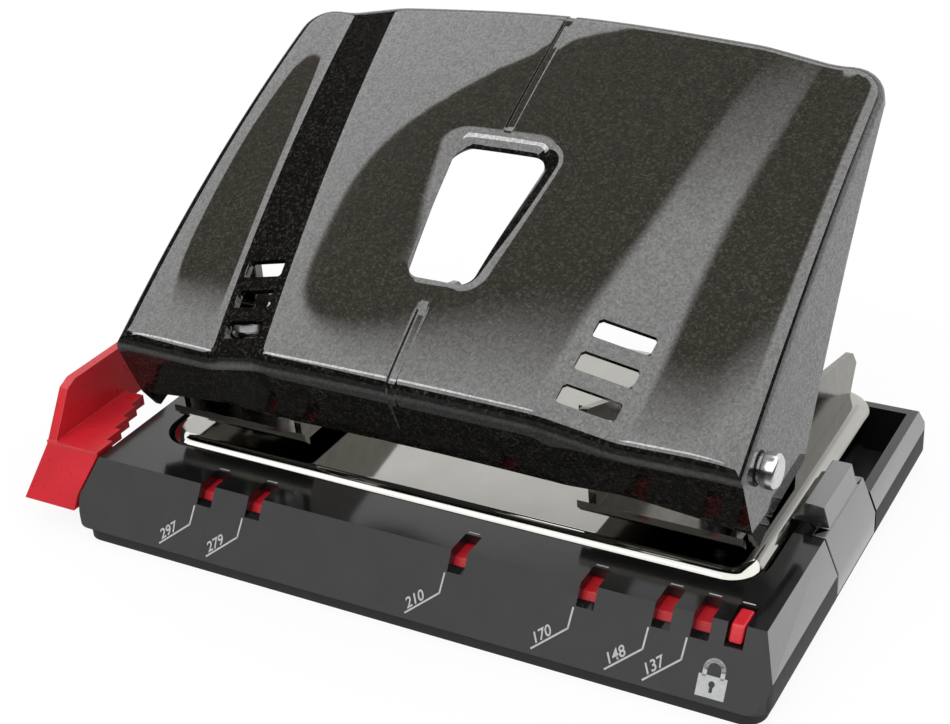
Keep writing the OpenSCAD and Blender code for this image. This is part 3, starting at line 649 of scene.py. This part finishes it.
        # the skin with its side walls, and the rear corners
        phi = 0.0
        if i < len(rows):
            s = rows[i]
            edge = halfAt(s) - sideRadius(s)
        else:
            phi = math.radians(90 * (i - len(rows) + 1) / bend)
            inner = h["cornerRadius"] - h["rearRadius"]
            s = lastS + inner * math.sin(phi)
            edge = halfAt(lastS) - h["cornerRadius"] + inner * math.cos(phi)
        if c <= flat:
            x, s = roundCorner(c, j, handleColumns(s, edge)[c], s)
            dx, ds = blunt(c, j)
            return x + dx, s + ds, skinDrop(x + dx, s + ds)
        if i == 0:
            d = frontDepths[c - flat]
            return sideOut(d, h["sideRadius"]), foldBack(d), frontEdge - d
        return sidePoint(c - flat, s if phi == 0 else lastS, phi)

    def lipPoint(c, i):
        # rear fold and lip
        r = h["rearRadius"]
        s = h["length"] - r
        x = handleColumns(s, halfAt(lastS) - h["cornerRadius"])[c]
        level = skinDrop(x, s)
        if i <= arc:
            return x, s + r * math.sin(angles[i]), level - r * (1 - math.cos(angles[i]))
        return x, h["length"], level - lerp(r, h["rearLip"], (i - arc) / (wall + tail))

    def point(c, j):
        i = j - frontRows
        if 0 <= i <= skinRows:
            return topPoint(c, j, i)
        if c > flat:
            return None
        return flangePoint(c, -i) if i < 0 else lipPoint(c, i - skinRows)

    bm = bmesh.new()
    bmesh.ops.create_grid(bm, x_segments=2 * half, y_segments=total, size=0.5)
    gone = []
    gridPlace = {}
    for v in bm.verts:
        c = round((v.co.x + 0.5) * 2 * half) - half
        j = round((v.co.y + 0.5) * total)
        gridPlace[v] = (abs(c), j)
        made = point(abs(c), j)
        if made is None:
            gone.append(v)
            continue
        x, s, n = made
        y, z = skinPoint(s, n)
        v.co = Vector((math.copysign(x, c) if c else 0.0, y, z)) * mm
    cut = []
    for face in bm.faces:
        columns, lines = zip(*(gridPlace[v] for v in face.verts))
        c0, c1, j0, j1 = min(columns), max(columns), min(lines), max(lines)
        inWindow = c1 <= windowColumn and j0 >= windowFirst and j1 <= windowLast
        inSlot = slotStart <= c0 and c1 <= slotEnd and any(j0 >= a and j1 <= b for a, b in slotRows)
        if inWindow or inSlot:
            cut.append(face)
    bmesh.ops.delete(bm, geom=gone, context="VERTS")
    bmesh.ops.delete(bm, geom=[f for f in cut if f.is_valid], context="FACES")
    bmesh.ops.delete(bm, geom=[v for v in bm.verts if not v.link_faces], context="VERTS")
    bmesh.ops.remove_doubles(bm, verts=bm.verts, dist=h["merge"] * mm)
    bmesh.ops.recalc_face_normals(bm, faces=bm.faces)
    if sum(f.normal.z * f.calc_area() for f in bm.faces) < 0:
        bmesh.ops.reverse_faces(bm, faces=bm.faces)
    obj = addPiece("handleSheet", bm, [finish["handle"]], "handle", "handle_paint", "handle_shell")
    thicken(obj, "thickness", h["thickness"])
    edgeMod = obj.modifiers.new("edges", "BEVEL")
    edgeMod.width = h["edgeBevel"] * mm
    edgeMod.segments = 2
    edgeMod.limit_method = "ANGLE"
    edgeMod.angle_limit = math.radians(h["edgeAngle"])
    evenNormals(obj)


makeHandle()
print("handle pressed")


# deck: a pressed plate with a rolled edge
deckPlate = {
    "halfX": 50.0, "y0": -22.9, "y1": 33.2, "top": 12.7, "skirt": 6.8, "sheet": 1.2,
    "corner": 5.5, "edge": 2.4, "cornerSteps": 12, "edgeSteps": 8,
    "holeX": 40.0, "holeY": -7.4, "hole": 2.8, "patch": 4.0, "holeSides": 8,
}


def topFaces(bm):
    return [f for f in bm.faces if f.normal.z > 0.99]


def punchHoles(bm):
    # a square patch of the top is cut out round each hole and bridged to a ring
    d = deckPlate
    both = (-d["patch"], d["patch"])
    lines = [((side * d["holeX"] + step, 0), (1, 0)) for side in (-1, 1) for step in both]
    lines += [((0, d["holeY"] + step), (0, 1)) for step in both]
    for place, run in lines:
        top = topFaces(bm)
        geom = top + list({e for f in top for e in f.edges}) + list({v for f in top for v in f.verts})
        bmesh.ops.bisect_plane(bm, geom=geom, plane_co=Vector((*place, 0)) * mm,
                               plane_no=(*run, 0), dist=1e-7)
    for side in (-1, 1):
        middle = Vector((side * d["holeX"], d["holeY"], d["top"])) * mm
        patch = min(topFaces(bm), key=lambda f: (f.calc_center_median() - middle).length)
        edges = list(patch.edges)
        bmesh.ops.delete(bm, geom=[patch], context="FACES_ONLY")
        bmesh.ops.subdivide_edges(bm, edges=edges, cuts=d["holeSides"] - 1)
        near = 2 * d["patch"] * mm
        loop = [e for e in bm.edges if e.is_boundary and (e.verts[0].co - middle).length < near]
        turned = Matrix.Translation(middle) @ Matrix.Rotation(math.pi / 4, 4, "Z")
        ring = bmesh.ops.create_circle(bm, radius=d["hole"] * mm, segments=4 * d["holeSides"],
                                       matrix=turned)
        hole = list({e for v in ring["verts"] for e in v.link_edges})
        bmesh.ops.bridge_loops(bm, edges=loop + hole)


def makeDeck():
    d = deckPlate
    bm = bmesh.new()
    bmesh.ops.create_cube(bm, size=1.0)
    size = Vector((2 * d["halfX"], d["y1"] - d["y0"], d["top"] - d["skirt"])) * mm
    middle = Vector((0, (d["y0"] + d["y1"]) / 2, (d["top"] + d["skirt"]) / 2)) * mm
    bmesh.ops.scale(bm, vec=size, verts=bm.verts)
    bmesh.ops.translate(bm, vec=middle, verts=bm.verts)
    upright = [e for e in bm.edges if abs(e.verts[0].co.z - e.verts[1].co.z) > 1 * mm]
    bmesh.ops.bevel(bm, geom=upright, offset=d["corner"] * mm, segments=d["cornerSteps"],
                    profile=0.5, affect="EDGES", material=-1)
    rim = [e for e in bm.edges if all(v.co.z > (d["top"] - 0.01) * mm for v in e.verts)]
    bmesh.ops.bevel(bm, geom=rim, offset=d["edge"] * mm, segments=d["edgeSteps"],
                    profile=0.5, affect="EDGES", material=-1)
    punchHoles(bm)
    low = [f for f in bm.faces if f.normal.z < -0.9]
    bmesh.ops.delete(bm, geom=low, context="FACES")
    obj = addPiece("deckPlate", bm, [finish["deck"]], "base", "deck_steel", "deck_plate")
    thicken(obj, "sheet", d["sheet"])
    evenNormals(obj)


makeDeck()
print("deck pressed")


# chip tray, latches and guide: edge widths and where the tray's finishes change, in mm
trayEdges = {
    "tray": 0.4, "latch": 0.3, "guide": 0.45, "click": 0.35, "segments": 3,
    "shadedFootTop": 2.5, "creaseTop": 6.6, "frontY": -31.0, "sideX": 53.5,
}
trayFinishes = ("rim", "satin", "paintedSheen", "matt", "foot")


def trayFinish(face):
    k = trayEdges
    y, z = face.center.y, face.center.z
    # painted shade: every face below this height takes the near-black band
    if z < k["shadedFootTop"] * mm:
        return "foot"
    if face.normal.y < -0.5 and face.normal.z < 0.75 and y < k["frontY"] * mm:
        return "satin"
    # painted light: side facets above the crease take the painted-sheen copy, those below it the
    # painted-shade copy
    if abs(face.normal.x) > 0.5 and abs(face.center.x) > k["sideX"] * mm:
        return "paintedSheen" if z > k["creaseTop"] * mm else "matt"
    return "rim"


def makeTray():
    k = trayEdges
    count = k["segments"]
    tray = softCopy("chip_tray", [finish[n] for n in trayFinishes], "base", "tray_plastic",
                    k["tray"], count)
    for face in tray.data.polygons:
        face.material_index = trayFinishes.index(trayFinish(face))
    # the latches take the lighter painted-sheen copy of the black plastic
    for node in ("left_latch", "right_latch"):
        softCopy(node, [finish["paintedSheen"]], node + "_body", "tray_plastic", k["latch"], count)
    softCopy("paper_guide", [finish["red"]], "guide", "guide_plastic", k["guide"], count)
    softCopy("guide_click", [finish["red"]], "guide", "guide_plastic", k["click"], count)


makeTray()
print("tray, latches and guide softened")


# steel parts of the punch units, edge widths in mm
punchEdges = {
    "bracket": 0.18, "presser": 0.2, "pivotPin": 0.2, "bush": 0.15, "punchPin": 0.15,
    "rivets": 0.15, "clips": 0.1,
}


def makePunchUnits():
    k = punchEdges
    bracket, pin, clip = [finish["bracket"]], [finish["pin"]], [finish["spring"]]
    for side in ("left", "right"):
        softCopy(side + "_bracket", bracket, "base", "bracket_steel", k["bracket"])
        softCopy(side + "_presser", bracket, "handle", "bracket_steel", k["presser"])
        softCopy(side + "_pivot_pin", pin, "base", "pin_steel", k["pivotPin"], 3)
        softCopy(side + "_bush", pin, "base", "pin_steel", k["bush"])
        softCopy(side + "_punch_pin", pin, side + "_punch", "pin_steel", k["punchPin"])
    softCopy("bracket_rivets", pin, "base", "pin_steel", k["rivets"])
    softCopy("pivot_clips", clip, "base", "pin_steel", k["clips"])


makePunchUnits()

# return springs, sizes in mm
returnSpring = {
    "x": 40.0, "y": -7.4, "foot": 17.5, "low": 17.9, "high": 26.8, "coil": 3.55, "wire": 0.35,
    "turns": 5.5, "sides": 10, "stepsPerTurn": 28, "stroke": 4.84,
}


def makeSpring(side, sign):
    p = returnSpring
    bm = bmesh.new()
    bmesh.ops.create_circle(bm, cap_ends=False, radius=p["wire"] * mm, segments=p["sides"])
    bmesh.ops.rotate(bm, verts=bm.verts, cent=(0, 0, 0), matrix=Matrix.Rotation(math.pi / 2, 3, "X"))
    bmesh.ops.translate(bm, verts=bm.verts, vec=Vector((p["coil"], 0, p["low"])) * mm)
    count = int(p["turns"] * p["stepsPerTurn"])
    rise = (p["high"] - p["low"]) / count * mm
    bmesh.ops.spin(bm, geom=bm.verts[:] + bm.edges[:], cent=(0, 0, 0), axis=(0, 0, 1),
                   dvec=(0, 0, rise), angle=2 * math.pi * p["turns"], steps=count, use_merge=False)
    ends = [e for e in bm.edges if len(e.link_faces) < 2]
    bmesh.ops.holes_fill(bm, edges=ends, sides=p["sides"])
    bmesh.ops.recalc_face_normals(bm, faces=bm.faces)
    bmesh.ops.translate(bm, verts=bm.verts, vec=Vector((sign * p["x"], p["y"], 0)) * mm)
    node = side + "_spring"
    obj = addPiece(node + ".wire", bm, [finish["spring"]], "base", "spring_steel", node)
    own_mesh(obj)


makeSpring("left", -1)
makeSpring("right", 1)
print("punch units fitted")


# printed marks on the tray's front and rim, in mm; q runs down the front from the rim
frontPrint = {
    "rimY": -31.4, "rimZ": 12.0, "down": (0, -0.5444, -0.8388), "out": (0, -0.8388, 0.5444),
    "lift": 0.03,
    "marks": ((-33.86, "297"), (-25.06, "279"), (9.64, "210"), (29.64, "170"),
              (40.64, "148"), (46.14, "137")),
    "leader": ((-1.6, 3.5), (-1.75, 6.4), (-6.4, 10.35)), "line": 0.26, "overlap": 0.3,
    "numberAt": (-6.2, 9.75), "numberSize": 2.1, "numberSlant": 0.25, "numberBold": 0.03,
    "tickY": -26.7, "tickShift": -0.2, "tickHalf": 0.9, "tickThin": 0.12, "lastX": 50.88,
}
padlock = {
    "x": 49.1, "half": 2.0, "top": 7.4, "bottom": 10.3,
    "keyhole": 0.45, "keyholeAt": 8.5, "keyholeSteps": 6, "slitHalf": 0.23, "slitEnd": 9.6,
    "shackle": 1.25, "shackleAt": 6.6, "shackleFoot": 7.5, "shackleLine": 0.6, "shackleSteps": 12,
}


def facePoint(x, q):
    p = frontPrint
    base = Vector((x, p["rimY"], p["rimZ"]))
    return (base + Vector(p["down"]) * q + Vector(p["out"]) * p["lift"]) * mm


def faceMatrix(x, q, turn):
    up = -Vector(frontPrint["down"])
    out = Vector(frontPrint["out"])
    axes = Matrix((Vector((1, 0, 0)), up, out)).transposed().to_4x4()
    return Matrix.Translation(facePoint(x, q)) @ axes @ Matrix.Rotation(turn, 4, "Z")


def flatFace(bm, points):
    bm.faces.new([bm.verts.new(point) for point in points])


def strip(bm, points, width):
    for a, b in zip(points, points[1:]):
        run = Vector((b[0] - a[0], b[1] - a[1], 0)).normalized()
        across = Vector((-run.y, run.x, 0)) * width / 2
        past = run * width * frontPrint["overlap"]
        start, end = Vector((*a, 0)) - past, Vector((*b, 0)) + past
        corners = (start - across, end - across, end + across, start + across)
        flatFace(bm, [facePoint(c.x, c.y) for c in corners])


def numberMesh(words):
    p = frontPrint
    curve = bpy.data.curves.new("number", "FONT")
    curve.body = words
    curve.size = p["numberSize"] * mm
    curve.shear = p["numberSlant"]
    curve.offset = p["numberBold"] * mm
    curve.align_x = "LEFT"
    curve.fill_mode = "FRONT"
    temp = bpy.data.objects.new("number", curve)
    bpy.context.scene.collection.objects.link(temp)
    depsgraph = bpy.context.evaluated_depsgraph_get()
    mesh = bpy.data.meshes.new_from_object(temp.evaluated_get(depsgraph))
    bpy.data.objects.remove(temp)
    bpy.data.curves.remove(curve)
    return mesh


def printMarks(bm):
    p = frontPrint
    (bendX, bendQ), (endX, endQ) = p["leader"][1:]
    turn = math.atan2(endQ - bendQ, bendX - endX)
    for x, words in p["marks"]:
        strip(bm, [(x + dx, q) for dx, q in p["leader"]], p["line"])
        text = numberMesh(words)
        text.transform(faceMatrix(x + p["numberAt"][0], p["numberAt"][1], turn))
        bm.from_mesh(text)
        bpy.data.meshes.remove(text)


def printTicks(bm):
    p = frontPrint
    for x in [m[0] for m in p["marks"]] + [p["lastX"]]:
        middle = Vector((x + p["tickShift"], p["tickY"], p["rimZ"] + p["lift"]))
        flatFace(bm, [(middle + Vector((dx * p["tickHalf"], dy * p["tickThin"], 0))) * mm
                      for dx, dy in ((-1, -1), (1, -1), (1, 1), (-1, 1))])


def printPadlock(bm):
    # two halves of a body with a keyhole between them, and a bowed shackle
    k = padlock
    half = [(k["half"], k["top"]), (0.0, k["top"])]
    for i in range(k["keyholeSteps"]):
        a = math.pi * i / k["keyholeSteps"]
        half.append((k["keyhole"] * math.sin(a), k["keyholeAt"] - k["keyhole"] * math.cos(a)))
    half += [(k["slitHalf"], k["slitEnd"]), (0.0, k["slitEnd"]),
             (0.0, k["bottom"]), (k["half"], k["bottom"])]
    for side in (-1, 1):
        flatFace(bm, [facePoint(k["x"] + side * x, q) for x, q in half])
    bow = [(k["x"] - k["shackle"], k["shackleFoot"])]
    for i in range(k["shackleSteps"] + 1):
        a = math.pi * i / k["shackleSteps"]
        bow.append((k["x"] - k["shackle"] * math.cos(a), k["shackleAt"] - k["shackle"] * math.sin(a)))
    strip(bm, bow + [(k["x"] + k["shackle"], k["shackleFoot"])], k["shackleLine"])


def makePrint():
    bm = bmesh.new()
    printMarks(bm)
    printTicks(bm)
    printPadlock(bm)
    bmesh.ops.recalc_face_normals(bm, faces=bm.faces)
    for face in bm.faces:
        if face.normal.z < 0:
            face.normal_flip()
    addPiece("frontPrint", bm, [finish["print"]], "base", "tray_plastic")


makePrint()
print("marks printed")


# floor and world, in metres
studio = {
    "floorSize": 6.0, "floorColour": (0.80, 0.80, 0.80, 1), "floorGlow": 0.90,
    "floorFront": (-0.10, -0.03), "floorSheen": 0.84,      # reflections see the floor dark in front
    "fill": 0.30, "backdrop": 1.0, "ceiling": 0.03,        # and a dark room, lit low at the rear
    "lowBand": (0.52, 0.68), "rearBand": (0.52, 0.66),
}
# a lit white sheet overhead with a shaded oval opening, crisp on one side and soft on the other
lightSheet = {
    "height": 1.25, "left": -1.45, "right": 3.2, "front": -2.4, "rear": 1.35,
    "strength": 1.95, "shade": (0.150, 0.139, 0.115),
    "centre": (-0.40, 0.18), "radii": (0.53, 0.37), "shear": 0.25, "power": 3.5,
    "softSide": (0.7, -0.7), "softFrom": (-0.3, 0.7), "crisp": 0.012, "soft": 0.36,
}
frontStrip = {
    "place": (-0.70, -0.95, 1.15), "run": (1.0, 0.0, 0.0), "aim": (0.0, 0.0, 0.05),
    "width": 1.30, "height": 0.30, "watts": 4.5,
}
white = (1, 1, 1)
black = (0, 0, 0)


def seenDirectly(tree):
    # camera, glossy and transmission rays together, and camera rays alone
    path = tree.nodes.new("ShaderNodeLightPath").outputs
    mirrored = mathOf(tree, "MAXIMUM", path["Is Camera Ray"], path["Is Glossy Ray"])
    return mathOf(tree, "MAXIMUM", mirrored, path["Is Transmission Ray"]), path["Is Camera Ray"]


def mixShaders(tree, fac, first, second, out):
    mix = tree.nodes.new("ShaderNodeMixShader")
    for socket, value in zip(mix.inputs, (fac, first, second)):
        tree.links.new(value, socket)
    tree.links.new(mix.outputs["Shader"], out.inputs["Surface"])


def mixColours(tree, blend, fac, first, second):
    node = tree.nodes.new("ShaderNodeMix")
    node.data_type = "RGBA"
    node.blend_type = blend
    feed(tree, node.inputs["Factor"], fac)
    feed(tree, node.inputs[6], first)        # the colour sockets of a Mix node
    feed(tree, node.inputs[7], second)
    return node.outputs[2]


def makeFloor():
    bm = bmesh.new()
    bmesh.ops.create_grid(bm, x_segments=1, y_segments=1, size=studio["floorSize"] / 2)
    mat, tree, out = bareMaterial("paleFloor")
    matt = tree.nodes.new("ShaderNodeBsdfDiffuse")
    matt.inputs["Color"].default_value = studio["floorColour"]
    glow = tree.nodes.new("ShaderNodeEmission")
    glow.inputs["Color"].default_value = (*white, 1)
    seen, byCamera = seenDirectly(tree)
    coords = tree.nodes.new("ShaderNodeTexCoord")
    rearward = axesOf(tree, coords.outputs["Object"])["Y"]
    lit = spread(tree, rearward, (0.0, studio["floorSheen"]), studio["floorFront"])
    tree.links.new(mathOf(tree, "MAXIMUM", lit, byCamera), glow.inputs["Strength"])
    share = mathOf(tree, "MULTIPLY", seen, studio["floorGlow"])
    mixShaders(tree, share, matt.outputs["BSDF"], glow.outputs["Emission"], out)
    floor = linkedMesh("floor", bm, [mat])


def makeWorld():
    world = bpy.data.worlds.new("studio")
    bpy.context.scene.world = world
    world.use_nodes = True
    tree = world.node_tree
    tree.nodes.clear()
    out = tree.nodes.new("ShaderNodeOutputWorld")
    fill = tree.nodes.new("ShaderNodeBackground")
    setSockets(fill, {"Color": (*white, 1), "Strength": studio["fill"]})
    backdrop = tree.nodes.new("ShaderNodeBackground")
    backdrop.inputs["Strength"].default_value = studio["backdrop"]
    coords = tree.nodes.new("ShaderNodeTexCoord")
    axes = axesOf(tree, coords.outputs["Generated"])
    low = ramp(tree, axes["Z"], tuple(zip(studio["lowBand"], (white, black))))
    rear = ramp(tree, axes["Y"], tuple(zip(studio["rearBand"], (black, white))))
    lowRear = mixColours(tree, "MULTIPLY", 1.0, low, rear)
    dark = studio["ceiling"]
    mirrored = ramp(tree, lowRear, ((0.0, (dark, dark, dark)), (1.0, white)))
    seen, byCamera = seenDirectly(tree)
    colour = mixColours(tree, "MIX", byCamera, mirrored, (*white, 1))
    tree.links.new(colour, backdrop.inputs["Color"])
    mixShaders(tree, seen, fill.outputs["Background"], backdrop.outputs["Background"], out)


def makeSheet():
    k = lightSheet
    bm = bmesh.new()
    bmesh.ops.create_grid(bm, x_segments=1, y_segments=1, size=1.0)
    half = ((k["right"] - k["left"]) / 2, (k["rear"] - k["front"]) / 2, 1)
    middle = ((k["right"] + k["left"]) / 2, (k["rear"] + k["front"]) / 2, k["height"])
    bmesh.ops.scale(bm, vec=half, verts=bm.verts)
    bmesh.ops.translate(bm, vec=middle, verts=bm.verts)
    mat, tree, out = bareMaterial("litSheet")
    glow = tree.nodes.new("ShaderNodeEmission")
    glow.inputs["Strength"].default_value = k["strength"]
    tree.links.new(glow.outputs["Emission"], out.inputs["Surface"])
    coords = tree.nodes.new("ShaderNodeTexCoord")
    axes = axesOf(tree, coords.outputs["Object"])
    offset = [mathOf(tree, "SUBTRACT", axes[i], k["centre"][i]) for i in (0, 1)]
    slant = mathOf(tree, "MULTIPLY", offset[0], k["shear"])
    offset[1] = mathOf(tree, "SUBTRACT", offset[1], slant)
    across = [mathOf(tree, "DIVIDE", offset[i], k["radii"][i]) for i in (0, 1)]
    raised = [mathOf(tree, "POWER", mathOf(tree, "ABSOLUTE", v), k["power"]) for v in across]
    away = mathOf(tree, "POWER", mathOf(tree, "ADD", *raised), 1 / k["power"])
    sides = [mathOf(tree, "MULTIPLY", across[i], k["softSide"][i]) for i in (0, 1)]
    side = mathOf(tree, "ADD", *sides)
    blur = spread(tree, side, (k["crisp"], k["soft"]), k["softFrom"], eased=True)
    mask = spread(tree, away, (0.0, 1.0), eased=True)
    feed(tree, mask.node.inputs["From Min"], mathOf(tree, "SUBTRACT", 1.0, blur))
    feed(tree, mask.node.inputs["From Max"], mathOf(tree, "ADD", 1.0, blur))
    colour = ramp(tree, mask, ((0.0, k["shade"]), (1.0, white)))
    tree.links.new(colour, glow.inputs["Color"])
    sheet = linkedMesh("lightSheet", bm, [mat])


def addStrip():
    k = frontStrip
    data = bpy.data.lights.new("frontStrip", "AREA")
    data.shape = "RECTANGLE"
    data.size, data.size_y, data.energy = k["width"], k["height"], k["watts"]
    lamp = bpy.data.objects.new("frontStrip", data)
    bpy.context.scene.collection.objects.link(lamp)
    away = (Vector(k["place"]) - Vector(k["aim"])).normalized()
    across = away.cross(Vector(k["run"])).normalized()
    turn = Matrix((across.cross(away), across, away)).transposed()
    lamp.matrix_world = Matrix.Translation(k["place"]) @ turn.to_4x4()


makeFloor()
makeWorld()
makeSheet()
addStrip()
bpy.context.scene.view_settings.view_transform = "Standard"
print("studio lit")
